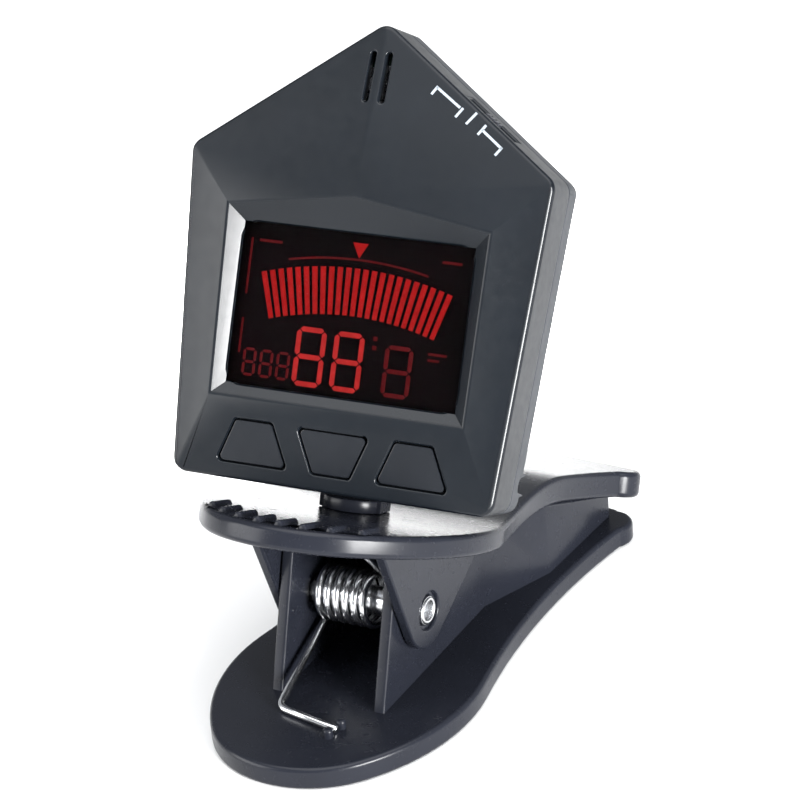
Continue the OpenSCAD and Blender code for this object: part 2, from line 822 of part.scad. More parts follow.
// Short grip ribs along the edge of the handle's tip
module handle_ribs() {
    for (x = [for (i = [0:rib_count - 1]) (i - (rib_count - 1) / 2) * rib_pitch])
        translate([x, tip_edge(upper_half, upper_tip, x) + rib_margin, plate_top - eps])
            rotate([-90, 0, 0]) linear_extrude(rib_len) rib_section();
}

module rib_section() {
    polygon([[-rib_w / 2, 0.1], [rib_w / 2, 0.1], [rib_w / 4, -rib_h], [-rib_w / 4, -rib_h]]);
}

// Block of a jaw pad in the frame of the upper lever
module pad_box(low, height, grow = 0) {
    translate([-pad_half - grow, pad_start - grow, low])
        cube([2 * (pad_half + grow), pad_end - pad_start + 2 * grow, height]);
}

module upper_jaw_pad() color("#17181b") on_lever()
    pad_ridged(lever_under(pad_start) - pad_sink, 1);

module lower_jaw_pad() color("#17181b") on_lever()
    pad_ridged(lever_under(pad_start) - wall_gap + pad_sink - pad_t, -1);

// A rubber pad with shallow cross grooves in its gripping face
module pad_ridged(low, up) {
    difference() {
        pad_box(low, pad_t);
        for (y = [pad_start + 1.5:2:pad_end - 1])
            translate([-far / 2, y, low + (up > 0 ? -1 : pad_t - 0.3)]) cube([far, 0.6, 1.3]);
    }
}

module lower_lever() color(clip_grey)
    difference() {
        union() {
            linear_extrude(base_t) lever_plan(paddle_half, lower_tip, jaw_len);
            intersection() {
                linear_extrude(far / 2) wall_plan();
                wall_profile();
            }
            intersection() {
                linear_extrude(far / 2) jaw_plan();
                jaw_top_profile();
            }
            spring_stops();
        }
        translate([-far / 2, 0, pivot_z]) rotate([0, 90, 0]) cylinder(h = far, d = pin_d + 2 * run_gap);
        on_lever() pad_box(lever_under(pad_start) - wall_gap + pad_sink - pad_t, 3, fit_gap / 2);
    }

// Plan of the two cheeks, which run back as side walls and close at the end of the jaw
module wall_plan() {
    difference() {
        wall_area(0);
        wall_area(cheek_t);
    }
}

// Area inside the outer faces of the side walls, moved inwards by d
module wall_area(d) {
    jaw_side = waist_half - flange_lip;
    intersection() {
        lever_plan(paddle_half, lower_tip, jaw_len - flange_lip, d);
        polygon([[cheek_half - d, -far / 2], [cheek_half - d, flare_start], [jaw_side - d, flare_end],
                 [jaw_side - d + jaw_flare, jaw_len - d - flange_lip],
                 [-jaw_side + d - jaw_flare, jaw_len - d - flange_lip],
                 [-jaw_side + d, flare_end], [d - cheek_half, flare_start], [d - cheek_half, -far / 2]]);
    }
}

module jaw_plan() {
    intersection() {
        wall_area(cheek_t / 2);
        translate([-far / 2, flare_end - 1]) square([far, far]);
    }
}

// A point of the upper lever's frame in the side view of the clip
function lever_to_side(y, z) =
    [y * cos(handle_angle) + z * sin(handle_angle), pivot_z - y * sin(handle_angle) + z * cos(handle_angle)];

// Top line of the walls, just under the closed upper lever
wall_top = [for (y = [for (s = step_points) if (s > 4) s]) lever_to_side(y, lever_under(y) - wall_gap)];
wall_end = lever_to_side(jaw_len + 4, plate_h + plate_step - wall_gap);
cheek_top = pivot_z + plate_h - 0.6;
cheek_foot = -9;
cheek_lean = 5.4;

module wall_profile() {
    start = lever_to_side(0, plate_h - wall_gap);
    slope_y = start[0] + (start[1] - cheek_top) / tan(handle_angle);
    translate([-far / 2, 0, 0])
        rotate([90, 0, 90])
            linear_extrude(far)
                polygon(concat([[cheek_foot, base_t / 2], [cheek_foot + cheek_lean, cheek_top],
                                [slope_y, cheek_top]],
                               wall_top, [wall_end, [wall_end[0], base_t / 2]]));
}

module jaw_top_profile() {
    low = lever_to_side(step_end - 1, plate_h + plate_step - wall_gap - jaw_plate_t);
    high = lever_to_side(step_end - 1, plate_h + plate_step - wall_gap);
    end_low = lever_to_side(jaw_len + 4, plate_h + plate_step - wall_gap - jaw_plate_t);
    translate([-far / 2, 0, 0])
        rotate([90, 0, 90]) linear_extrude(far) polygon([low, high, wall_end, end_low]);
}

// Where the lower leg of the spring bends and where its foot ends, on the base plate
foot_bend = [-3.7, -11.8];
foot_end = [3.8, -13.3];
peg_d = 1;

// Two small pegs that hold the end of the spring foot
module spring_stops() {
    along = dir(foot_bend, foot_end);
    peg_side = (wire_d + peg_d) / 2 + 0.1;
    for (side = [-1, 1])
        translate([foot_end[0] - along[0] * 0.2 - side * along[1] * peg_side,
                   foot_end[1] - along[1] * 0.2 + side * along[0] * peg_side, base_t - eps])
            cylinder(h = peg_d, d = peg_d);
}

module pivot_pin() color(steel)
    translate([0, 0, pivot_z])
        rotate([0, 90, 0])
            difference() {
                cylinder(h = 2 * ear_out - 0.3, d = pin_d, center = true);
                for (side = [-1, 1])
                    translate([0, 0, side * ear_out]) cylinder(h = 2.2, d = pin_d - 1.1, center = true);
            }

// ---- spring ----

coil_start_angle = 302;
coil_end_angle = 402;
foot_z = base_t + wire_d / 2 + 0.02;
sides = 8;

// Points of the wire: foot, lower leg, coil, upper leg and its bent end
function on_coil(t) =
    let (a = coil_start_angle + (360 * coil_turns + coil_end_angle - coil_start_angle) * t)
    [coil_x - coil_half + 2 * coil_half * t, coil_r * cos(a), pivot_z + coil_r * sin(a)];
function lever_point(x, y, z) = let (s = lever_to_side(y, z)) [x, s[0], s[1]];

hook_x = coil_x + coil_half;
hook_y = -7.5;
hook_z = plate_h - wire_d / 2 - 0.03;
wire_path = concat(
    [[foot_end[0], foot_end[1], foot_z], [foot_bend[0] + 0.9, foot_bend[1] - 0.18, foot_z],
     [foot_bend[0] + 0.25, foot_bend[1] - 0.02, foot_z + 0.12],
     [foot_bend[0], foot_bend[1] + 0.5, foot_z + 0.55]],
    [for (i = [0:coil_turns * 16]) on_coil(i / (coil_turns * 16))],
    [lever_point(hook_x + 0.1, hook_y + 0.6, hook_z - 0.7),
     lever_point(hook_x - 0.1, hook_y + 0.15, hook_z - 0.15),
     lever_point(hook_x - 0.8, hook_y, hook_z),
     lever_point(hook_x - 4.4, hook_y, hook_z)]);

// Tube of the wire along a path
function path_dir(i) =
    let (n = len(wire_path)) dir(wire_path[max(i - 1, 0)], wire_path[min(i + 1, n - 1)]);
function ring(i) =
    let (t = path_dir(i), u = cross(t, [0.31, 0.52, 0.8]), a = u / norm(u), b = cross(t, a))
    [for (k = [0:sides - 1])
        wire_path[i] + (cos(360 * k / sides) * a + sin(360 * k / sides) * b) * wire_d / 2];

module torsion_spring() color(steel) {
    n = len(wire_path);
    points = [for (i = [0:n - 1]) each ring(i)];
    side_faces = [for (i = [0:n - 2], k = [0:sides - 1])
        let (k2 = (k + 1) % sides)
        each [[i * sides + k, i * sides + k2, (i + 1) * sides + k2],
              [i * sides + k, (i + 1) * sides + k2, (i + 1) * sides + k]]];
    ends = [[for (k = [sides - 1:-1:0]) k], [for (k = [0:sides - 1]) (n - 1) * sides + k]];
    polyhedron(points, concat(side_faces, ends));
}

front_housing();
rear_housing();
display_window();
display_panel();
display_frame();
connector_strip();
circuit_board();
left_button();
middle_button();
right_button();
button_switches();
switch_body();
switch_knob();
microphone();
piezo_disc();
coin_cell();
cell_spring_contact();
cell_side_contact();
battery_cap();
housing_screws();
tilt_pin();
swivel_post();
swivel_washer();
swivel_screw();
upper_lever();
upper_jaw_pad();
lower_lever();
lower_jaw_pad();
pivot_pin();
torsion_spring();
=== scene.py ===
"""Looks of the clip-on tuner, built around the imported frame. Lengths in metres."""
import json
import math

import bmesh
import bpy
from mathutils import Matrix, Vector
from mathutils.bvhtree import BVHTree


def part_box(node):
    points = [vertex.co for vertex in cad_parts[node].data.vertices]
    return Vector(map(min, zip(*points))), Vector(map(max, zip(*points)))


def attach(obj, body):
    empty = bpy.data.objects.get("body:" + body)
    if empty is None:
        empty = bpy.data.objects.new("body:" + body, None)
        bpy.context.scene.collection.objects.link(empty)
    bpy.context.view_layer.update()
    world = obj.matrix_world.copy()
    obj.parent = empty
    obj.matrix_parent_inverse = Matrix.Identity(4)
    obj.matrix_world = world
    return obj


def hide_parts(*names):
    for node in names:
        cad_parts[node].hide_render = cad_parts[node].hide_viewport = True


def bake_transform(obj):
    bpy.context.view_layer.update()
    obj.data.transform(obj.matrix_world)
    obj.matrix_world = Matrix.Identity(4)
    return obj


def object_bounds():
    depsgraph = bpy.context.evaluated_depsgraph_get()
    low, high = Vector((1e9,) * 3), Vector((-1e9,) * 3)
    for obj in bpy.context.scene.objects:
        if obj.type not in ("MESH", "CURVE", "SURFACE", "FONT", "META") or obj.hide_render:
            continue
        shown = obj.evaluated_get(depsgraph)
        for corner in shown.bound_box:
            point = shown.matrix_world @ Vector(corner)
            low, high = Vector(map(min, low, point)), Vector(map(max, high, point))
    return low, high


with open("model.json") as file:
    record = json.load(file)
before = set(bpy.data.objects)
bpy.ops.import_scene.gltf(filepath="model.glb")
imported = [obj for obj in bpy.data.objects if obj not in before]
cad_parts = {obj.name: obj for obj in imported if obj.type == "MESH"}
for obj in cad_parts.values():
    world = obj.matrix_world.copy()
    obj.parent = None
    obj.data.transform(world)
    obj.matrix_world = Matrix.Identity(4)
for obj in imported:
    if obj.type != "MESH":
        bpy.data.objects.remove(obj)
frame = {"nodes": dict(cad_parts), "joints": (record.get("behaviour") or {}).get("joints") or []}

MM = 0.001
cad_lo, cad_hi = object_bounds()
nodes = frame["nodes"]
joints = {j["name"]: j for j in frame["joints"]}
scene = bpy.context.scene

# ---- the head's own frame: x to the right, y up its face, z out of its face ----
HINGE_Y = 3 * MM          # tilt pin above the bottom edge of the head
HINGE_Z = -8 * MM         # tilt pin behind the rim of the face
head_x = Vector(joints["head_tilt"]["axis"]).normalized()
head_z = -Vector(joints["left_button_press"]["axis"]).normalized()
head_y = head_z.cross(head_x).normalized()
tilt_pin = Vector(joints["head_tilt"]["pos_m"])
head_origin = tilt_pin - HINGE_Y * head_y - HINGE_Z * head_z


def axes_matrix(x, y, z, origin):
    """The matrix from a frame with these axes to the part's frame."""
    matrix = Matrix((x, y, z)).transposed().to_4x4()
    matrix.translation = origin
    return matrix


HEAD = axes_matrix(head_x, head_y, head_z, head_origin)
HEAD_INV = HEAD.inverted()


def head_box(node):
    """Lowest and highest corner of a CAD node in the head's frame."""
    points = [HEAD_INV @ v.co for v in nodes[node].data.vertices]
    low = Vector([min(p[i] for p in points) for i in range(3)])
    high = Vector([max(p[i] for p in points) for i in range(3)])
    return low, high


# ---- materials ----
BLACK = (0, 0, 0, 1)
WHITE = (1, 1, 1, 1)
POLISHED_ROUGH = 0.12     # roughness of the slopes around the window
BRUSH_DEPTH = 0.006       # depth of the brushing on metal, in mm


def srgb(r, g, b):
    """A colour given as 0..255 in sRGB, as linear RGBA."""
    def lin(c):
        c /= 255
        return c / 12.92 if c <= 0.04045 else ((c + 0.055) / 1.055) ** 2.4
    return (lin(r), lin(g), lin(b), 1.0)


def new_material(name):
    mat = bpy.data.materials.new(name)
    mat.use_nodes = True
    tree = mat.node_tree
    tree.nodes.clear()
    out = tree.nodes.new("ShaderNodeOutputMaterial")
    shader = tree.nodes.new("ShaderNodeBsdfPrincipled")
    tree.links.new(shader.outputs[0], out.inputs[0])
    return mat, tree, shader


def feed(tree, value, socket):
    """Sets a socket to a number, or links an output to it."""
    if isinstance(value, (int, float)):
        socket.default_value = value
    else:
        tree.links.new(value, socket)


def along_axis(tree, vector, axis):
    """How far a vector output reaches along an axis."""
    node = tree.nodes.new("ShaderNodeVectorMath")
    node.operation = "DOT_PRODUCT"
    tree.links.new(vector, node.inputs[0])
    node.inputs[1].default_value = axis
    return node.outputs["Value"]


def noise(tree, scale, detail=3.0, rough=0.5, stretch=None):
    """Noise over the object's own coordinates; scale is in features per metre."""
    coords = tree.nodes.new("ShaderNodeTexCoord")
    tex = tree.nodes.new("ShaderNodeTexNoise")
    tex.inputs["Scale"].default_value = scale
    tex.inputs["Detail"].default_value = detail
    tex.inputs["Roughness"].default_value = rough
    source = coords.outputs["Object"]
    if stretch:
        mapping = tree.nodes.new("ShaderNodeMapping")
        mapping.inputs["Scale"].default_value = stretch
        tree.links.new(source, mapping.inputs["Vector"])
        source = mapping.outputs[0]
    tree.links.new(source, tex.inputs["Vector"])
    return tex.outputs["Fac"]


def ramp(tree, fac, stops):
    node = tree.nodes.new("ShaderNodeValToRGB")
    elements = node.color_ramp.elements
    while len(elements) > 1:
        elements.remove(elements[-1])
    for i, (at, colour) in enumerate(stops):
        element = elements[0] if i == 0 else elements.new(at)
        element.position = at
        element.color = colour
    tree.links.new(fac, node.inputs[0])
    return node.outputs[0]


def spread(tree, fac, low, high):
    """Maps noise to a range of values."""
    node = tree.nodes.new("ShaderNodeMapRange")
    node.inputs["From Min"].default_value = 0.3
    node.inputs["From Max"].default_value = 0.7
    node.inputs["To Min"].default_value = low
    node.inputs["To Max"].default_value = high
    tree.links.new(fac, node.inputs[0])
    return node.outputs[0]


def bump(tree, shader, height, strength, distance):
    node = tree.nodes.new("ShaderNodeBump")
    node.inputs["Strength"].default_value = strength
    node.inputs["Distance"].default_value = distance
    tree.links.new(height, node.inputs["Height"])
    tree.links.new(node.outputs[0], shader.inputs["Normal"])


def shade(colour, factor):
    return (colour[0] * factor, colour[1] * factor, colour[2] * factor, 1.0)


def steep_slopes(tree):
    """1 where the surface slopes steeply to the face, as around the window, else 0."""
    normal = tree.nodes.new("ShaderNodeTexCoord").outputs["Normal"]
    facing = along_axis(tree, normal, head_z)
    return ramp(tree, facing, [(0.3, BLACK), (0.4, WHITE), (0.78, WHITE), (0.86, BLACK)])


def blended(tree, fac, a, b):
    """a where fac is 0 and b where it is 1; either may be a number."""
    node = tree.nodes.new("ShaderNodeMix")
    node.data_type = "FLOAT"
    tree.links.new(fac, node.inputs[0])
    feed(tree, a, node.inputs[2])
    feed(tree, b, node.inputs[3])
    return node.outputs[0]


def moulded(name, colour, rough, grain=5200, grain_depth=0.012, strength=0.25, mottling=0.08, gloss=0.5,
            polished=False):
    """Moulded plastic or rubber: faint mottling, fine grain and uneven gloss.

    grain is in grains per metre and grain_depth in mm; polished smooths the slopes around the window.
    """
    mat, tree, shader = new_material(name)
    cloudy = noise(tree, 160, 4)
    tint = ramp(tree, cloudy, [(0.32, shade(colour, 1 - mottling)), (0.68, shade(colour, 1 + mottling))])
    tree.links.new(tint, shader.inputs["Base Color"])
    scuffs = noise(tree, 900, 5, 0.6)
    uneven = spread(tree, scuffs, rough * 0.9, rough * 1.1)
    shader.inputs["Specular IOR Level"].default_value = gloss
    if polished:
        uneven = blended(tree, steep_slopes(tree), uneven, POLISHED_ROUGH)
    tree.links.new(uneven, shader.inputs["Roughness"])
    bump(tree, shader, noise(tree, grain, 2, 0.55), strength, grain_depth * MM)
    return mat


def metal(name, colour, rough, brush=None, strength=0.15):
    """Metal with a fine brushed or drawn texture."""
    mat, tree, shader = new_material(name)
    shader.inputs["Metallic"].default_value = 1.0
    fine = noise(tree, 2400, 3, 0.6, brush)
    tint = ramp(tree, fine, [(0.3, shade(colour, 0.86)), (0.7, colour)])
    tree.links.new(tint, shader.inputs["Base Color"])
    tree.links.new(spread(tree, fine, rough * 0.75, rough * 1.3), shader.inputs["Roughness"])
    bump(tree, shader, fine, strength, BRUSH_DEPTH * MM)
    return mat


def glowing(name, colour):
    """A lit display segment, slightly uneven: its colour is its light, over a nearly black surface."""
    mat, tree, shader = new_material(name)
    cells = noise(tree, 1500, 2)
    light = ramp(tree, cells, [(0.3, shade(colour, 0.75)), (0.7, colour)])
    surface = ramp(tree, cells, [(0.3, shade(colour, 0.1)), (0.7, shade(colour, 0.14))])
    tree.links.new(surface, shader.inputs["Base Color"])
    tree.links.new(light, shader.inputs["Emission Color"])
    shader.inputs["Specular IOR Level"].default_value = 0.06
    shader.inputs["Emission Strength"].default_value = 1.0
    shader.inputs["Roughness"].default_value = 0.5
    return mat


def window_glass(name):
    mat, tree, shader = new_material(name)
    smears = noise(tree, 300, 3)
    tint = ramp(tree, smears, [(0.3, (0.93, 0.93, 0.95, 1)), (0.7, (1, 1, 1, 1))])
    tree.links.new(tint, shader.inputs["Base Color"])
    tree.links.new(spread(tree, smears, 0.0, 0.03), shader.inputs["Roughness"])
    shader.inputs["Transmission Weight"].default_value = 1.0
    shader.inputs["IOR"].default_value = 1.08
    return mat


HEAD_COLOUR = srgb(18, 22, 27)
BACK_COLOUR = srgb(44, 47, 52)
CLIP_COLOUR = srgb(29, 31, 38)
BUTTON_COLOUR = srgb(23, 26, 31)

head_front = moulded("head_front_plastic", HEAD_COLOUR, 0.36, grain=4200, grain_depth=0.006, strength=0.15,
                     gloss=0.28, polished=True)
head_back = moulded("head_back_plastic", BACK_COLOUR, 0.42, grain=3800, grain_depth=0.01, gloss=0.25)
clip_plastic = moulded("clip_plastic", CLIP_COLOUR, 0.26, grain=2600, grain_depth=0.003, strength=0.06,
                       gloss=0.22)
button_plastic = moulded("button_plastic", BUTTON_COLOUR, 0.34, grain=4600, grain_depth=0.004, strength=0.15,
                         gloss=0.35)
knob_plastic = moulded("knob_plastic", srgb(40, 42, 48), 0.4)
rubber = moulded("pad_rubber", srgb(32, 32, 35), 0.7, grain=3000, grain_depth=0.03, strength=0.4)
light_guide = moulded("light_guide_plastic", srgb(232, 230, 222), 0.3, mottling=0.03)
board_mask = moulded("board_solder_mask", srgb(22, 82, 48), 0.35, mottling=0.2)
steel = metal("brushed_steel", srgb(196, 198, 202), 0.28, (1, 1, 6))
spring_steel = metal("polished_wire", srgb(235, 236, 238), 0.2, (6, 1, 1), 0.05)
brass = metal("piezo_brass", srgb(200, 165, 88), 0.3)
lcd_black = moulded("display_black", srgb(5, 1, 2), 0.45, grain=1800, grain_depth=0.002, mottling=0.3,
                    gloss=0.03)
glass = window_glass("window_glass")
print_white = moulded("printed_white", srgb(150, 158, 166), 0.6, mottling=0.1)
lit_red = glowing("segment_red", srgb(156, 16, 15))
digit_red = glowing("digit_red", srgb(172, 36, 34))
faint_red = glowing("segment_faint", srgb(84, 10, 14))


# ---- finish of the CAD nodes: welded, small rounded edges, flat faces kept flat ----
WELD = 0.002              # vertices nearer than this become one, in mm
FLAT_ANGLE = 0.6          # faces that meet at less than this become one, in degrees
ROUND_ANGLE = 25          # convex edges that turn by more than this are rounded, in degrees
SHARP_ANGLE = 34          # edges that turn by more than this are shaded sharp, in degrees
WIDE_EDGE = 0.3           # a rounding wider than this, in mm, has more segments
WIDE_SEGMENTS = 4
FINE_SEGMENTS = 2


def geometry_group(name):
    """A geometry node group, with the start and the end of its stream."""
    tree = bpy.data.node_groups.new(name, "GeometryNodeTree")
    for way in ("INPUT", "OUTPUT"):
        tree.interface.new_socket("Geometry", in_out=way, socket_type="NodeSocketGeometry")
    source = tree.nodes.new("NodeGroupInput").outputs[0]
    sink = tree.nodes.new("NodeGroupOutput").inputs[0]
    return tree, source, sink


def smooth_group():
    """Shades smooth, with sharp edges above an angle."""
    tree, source, sink = geometry_group("smooth_by_angle")
    faces = tree.nodes.new("GeometryNodeSetShadeSmooth")
    faces.domain = "FACE"
    faces.inputs["Shade Smooth"].default_value = True
    edges = tree.nodes.new("GeometryNodeSetShadeSmooth")
    edges.domain = "EDGE"
    angle = tree.nodes.new("GeometryNodeInputMeshEdgeAngle")
    below = tree.nodes.new("FunctionNodeCompare")
    below.data_type = "FLOAT"
    below.operation = "LESS_THAN"
    below.inputs[1].default_value = math.radians(SHARP_ANGLE)
    link = tree.links.new
    link(source, faces.inputs["Geometry"])
    link(faces.outputs[0], edges.inputs["Geometry"])
    link(angle.outputs["Unsigned Angle"], below.inputs[0])
    link(below.outputs[0], edges.inputs["Shade Smooth"])
    link(edges.outputs[0], sink)
    return tree


SMOOTH = smooth_group()


def weight_group(name, width, regions):
    """Writes the bevel weight of every edge: width by default, or that of the last region it lies in.

    A region is (width, [(axis, origin, low, high), ...]): an edge is in it where its middle lies
    between low and high along every axis, all in mm.
    """
    widest = max([width] + [size for size, limits in regions])
    tree, source, sink = geometry_group(name + "_edges")

    def math_node(operation, a, b):
        node = tree.nodes.new("ShaderNodeMath")
        node.operation = operation
        feed(tree, a, node.inputs[0])
        feed(tree, b, node.inputs[1])
        return node.outputs[0]

    position = tree.nodes.new("GeometryNodeInputPosition").outputs[0]
    weight = width / widest
    for size, limits in regions:
        inside = 1.0
        for axis, origin, low, high in limits:
            along = math_node("SUBTRACT", along_axis(tree, position, axis), origin.dot(axis))
            above = math_node("GREATER_THAN", along, low * MM)
            below = math_node("LESS_THAN", along, high * MM)
            inside = math_node("MULTIPLY", inside, math_node("MULTIPLY", above, below))
        kept = math_node("MULTIPLY", weight, math_node("SUBTRACT", 1.0, inside))
        weight = math_node("ADD", kept, math_node("MULTIPLY", inside, size / widest))
    angle = tree.nodes.new("GeometryNodeInputMeshEdgeAngle").outputs["Signed Angle"]
    convex = math_node("GREATER_THAN", angle, math.radians(ROUND_ANGLE))
    weight = math_node("MULTIPLY", weight, convex)
    store = tree.nodes.new("GeometryNodeStoreNamedAttribute")
    store.data_type = "FLOAT"
    store.domain = "EDGE"
    store.inputs["Name"].default_value = "bevel_weight_edge"
    tree.links.new(weight, store.inputs["Value"])
    tree.links.new(source, store.inputs["Geometry"])
    tree.links.new(store.outputs[0], sink)
    return tree, widest


def finish_edges(obj, width, regions=()):
    """Welds a CAD node, rounds its edges by width (mm) or by its regions, and shades it."""
    weld = obj.modifiers.new("weld", "WELD")
    weld.merge_threshold = WELD * MM
    flat = obj.modifiers.new("flat_faces", "DECIMATE")
    flat.decimate_type = "DISSOLVE"
    flat.angle_limit = math.radians(FLAT_ANGLE)
    if width:
        group, widest = weight_group(obj.name, width, list(regions))
        weights = obj.modifiers.new("edge_weights", "NODES")
        weights.node_group = group
        soft = obj.modifiers.new("soft_edges", "BEVEL")
        soft.width = widest * MM
        soft.segments = WIDE_SEGMENTS if widest > WIDE_EDGE else FINE_SEGMENTS
        soft.limit_method = "WEIGHT"
        soft.use_clamp_overlap = False
        soft.miter_outer = "MITER_ARC"
    shading = obj.modifiers.new("smooth_by_angle", "NODES")
    shading.node_group = SMOOTH
    weighted = obj.modifiers.new("weighted_normals", "WEIGHTED_NORMAL")
    weighted.keep_sharp = True
    weighted.weight = 60


# The upper lever's own frame: y along its handle towards the jaws, z square to it
PIVOT = Vector(joints["clip_hinge"]["pos_m"])
lever_z = Vector(joints["neck_swivel"]["axis"]).normalized()
lever_x = Vector((1, 0, 0))
lever_y = lever_z.cross(lever_x)
BASE_T = 2.4              # base plate of the lower lever
PLATE_H = 7.2             # underside of the upper handle above the pivot
PLATE_TOP = 9.5           # its top face
RIBS_END = -5             # past the grip ribs, along the handle
RIB_EDGE = 0.03           # the ribs' own edges lie higher than this over the plate
BACK_RIM = (-9.3, -8.0)   # heights between which the rim of the head's back lies
NEAR = 0.05
FAR = 100
BASE = Vector()
UPWARD = Vector((0, 0, 1))
# Wider roundings in mm, with the heights in mm between which their edges lie
EDGE_REGIONS = {
    "lower_lever": [(0.55, [(UPWARD, BASE, BASE_T - NEAR, BASE_T + NEAR)]),
                    (0.45, [(UPWARD, BASE, -NEAR, NEAR)])],
    "upper_lever": [(0.6, [(lever_z, PIVOT, PLATE_H - NEAR, PLATE_TOP + RIB_EDGE)]),
                    (0.6, [(lever_z, PIVOT, PLATE_H - NEAR, FAR), (lever_y, PIVOT, RIBS_END, FAR)])],
    "front_housing": [(0.4, [(head_z, head_origin, -2 * NEAR, 2 * NEAR)])],
    "rear_housing": [(0.35, [(head_z, head_origin, *BACK_RIM)])],
}

# Each node's material, and the rounding of its edges in mm
LOOKS = {
    "front_housing": (head_front, 0.22),
    "rear_housing": (head_back, 0.18),
    "battery_cap": (head_back, 0.12),
    "display_window": (glass, 0.0),
    "display_panel": (lcd_black, 0.05),
    "display_frame": (light_guide, 0.08),
    "connector_strip": (rubber, 0.08),
    "circuit_board": (board_mask, 0.03),
    "left_button": (button_plastic, 0.12),
    "middle_button": (button_plastic, 0.12),
    "right_button": (button_plastic, 0.12),
    "button_switches": (steel, 0.06),
    "switch_body": (steel, 0.06),
    "switch_knob": (knob_plastic, 0.05),
    "microphone": (steel, 0.08),
    "piezo_disc": (brass, 0.0),
    "coin_cell": (steel, 0.08),
    "cell_spring_contact": (steel, 0.03),
    "cell_side_contact": (steel, 0.03),
    "housing_screws": (steel, 0.04),
    "tilt_pin": (steel, 0.05),
    "swivel_post": (clip_plastic, 0.12),
    "swivel_washer": (steel, 0.05),
    "swivel_screw": (steel, 0.04),
    "upper_lever": (clip_plastic, 0.25),
    "upper_jaw_pad": (rubber, 0.1),
    "lower_lever": (clip_plastic, 0.3),
    "lower_jaw_pad": (rubber, 0.1),
    "pivot_pin": (spring_steel, 0.08),
}
for name, (mat, width) in LOOKS.items():
    node = nodes[name]
    node.data.materials.clear()
    node.data.materials.append(mat)
    finish_edges(node, width, EDGE_REGIONS.get(name, ()))


# ---- flat marks built as thin raised meshes ----
def make_piece(name, bm, mat, body):
    """Makes a piece of a finished mesh; it rides on the body, or on none if no body is given."""
    mesh = bpy.data.meshes.new(name)
    bmesh.ops.recalc_face_normals(bm, faces=bm.faces)
    bm.to_mesh(mesh)
    bm.free()
    mesh.materials.append(mat)
    piece = bpy.data.objects.new(name, mesh)
    scene.collection.objects.link(piece)
    if body:
        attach(piece, body)
    return piece


def slab(bm, outline, low, high):
    """Adds a thin prism over a 2D outline in the head's frame (mm); low and high are functions of x, y."""
    lower = [bm.verts.new(HEAD @ (Vector((x, y, low(x, y))) * MM)) for x, y in outline]
    upper = [bm.verts.new(HEAD @ (Vector((x, y, high(x, y))) * MM)) for x, y in outline]
    count = len(outline)
    bm.faces.new(upper)
    bm.faces.new(list(reversed(lower)))
    for i in range(count):
        j = (i + 1) % count
        bm.faces.new((lower[i], lower[j], upper[j], upper[i]))


MARK_GAP = 0.01           # height of a display segment over the panel
MARK_T = 0.03             # its thickness
panel_z = head_box("display_panel")[1].z / MM
lens_low, lens_high = head_box("display_window")
window_mid_y = (lens_low.y + lens_high.y) / 2 / MM


def on_panel(x, y):
    return panel_z + MARK_GAP


def over_panel(x, y):
    return panel_z + MARK_GAP + MARK_T


def display_marks(name, outlines, mat):
    bm = bmesh.new()
    for outline in outlines:
        slab(bm, outline, on_panel, over_panel)
    return make_piece(name, bm, mat, "head")


# Fan of bars around a centre far below the window
FAN_IN = 29.7
FAN_OUT = 34.4
FAN_Y = window_mid_y - FAN_IN
BARS = 23
BAR_STEP = math.radians(1.5)
BAR_HALF = math.radians(0.46)


def fan(radius, angle):
    return (radius * math.sin(angle), FAN_Y + radius * math.cos(angle))


bars = []
for i in range(BARS):
    a = (i - (BARS - 1) / 2) * BAR_STEP
    bars.append([fan(FAN_IN, a - BAR_HALF), fan(FAN_IN, a + BAR_HALF),
                 fan(FAN_OUT, a + BAR_HALF), fan(FAN_OUT, a - BAR_HALF)])
display_marks("gauge_bars", bars, lit_red)

ARC_STEPS = 24
ARC_IN = FAN_OUT + 0.75
ARC_OUT = FAN_OUT + 0.95
ARC_SPAN = (BARS - 7) * BAR_STEP
arc = []
for i in range(ARC_STEPS):
    a0 = (i / ARC_STEPS - 0.5) * ARC_SPAN
    a1 = ((i + 1) / ARC_STEPS - 0.5) * ARC_SPAN
    arc.append([fan(ARC_IN, a0), fan(ARC_IN, a1), fan(ARC_OUT, a1), fan(ARC_OUT, a0)])
display_marks("gauge_arc", arc, faint_red)

POINTER_TOP = window_mid_y + 7.2
POINTER_HALF = 0.8
POINTER_H = 1.5
pointer = [(-POINTER_HALF, POINTER_TOP), (0, POINTER_TOP - POINTER_H), (POINTER_HALF, POINTER_TOP)]
display_marks("gauge_pointer", [pointer], lit_red)

SEGMENT_GAP = 0.09        # between the segments of a digit


def digit(x0, x1, y0, y1, t):
    """Outlines of the seven segments, t wide, of a digit in a box, with gaps between them."""
    gap = SEGMENT_GAP
    h = t / 2
    left, right, low, high = x0 + h, x1 - h, y0 + h, y1 - h
    mid = (low + high) / 2

    def across(y):
        return [(left + gap, y), (left + gap + h, y + h), (right - gap - h, y + h),
                (right - gap, y), (right - gap - h, y - h), (left + gap + h, y - h)]

    def upright(x, ya, yb):
        return [(x, ya + gap), (x + h, ya + gap + h), (x + h, yb - gap - h),
                (x, yb - gap), (x - h, yb - gap - h), (x - h, ya + gap + h)]

    return [across(high), upright(right, mid, high), upright(right, low, mid), across(low),
            upright(left, low, mid), upright(left, mid, high), across(mid)]


DIGIT_LOW = window_mid_y - 7.5
DIGIT_HIGH = window_mid_y - 1.6
NOTE_X = -5.5
NOTE_W = 3.15
NOTE_STEP = 4.0
notes = []
for k in range(2):
    x = NOTE_X + NOTE_STEP * k
    notes += digit(x, x + NOTE_W, DIGIT_LOW, DIGIT_HIGH, 0.5)
display_marks("note_digits", notes, digit_red)

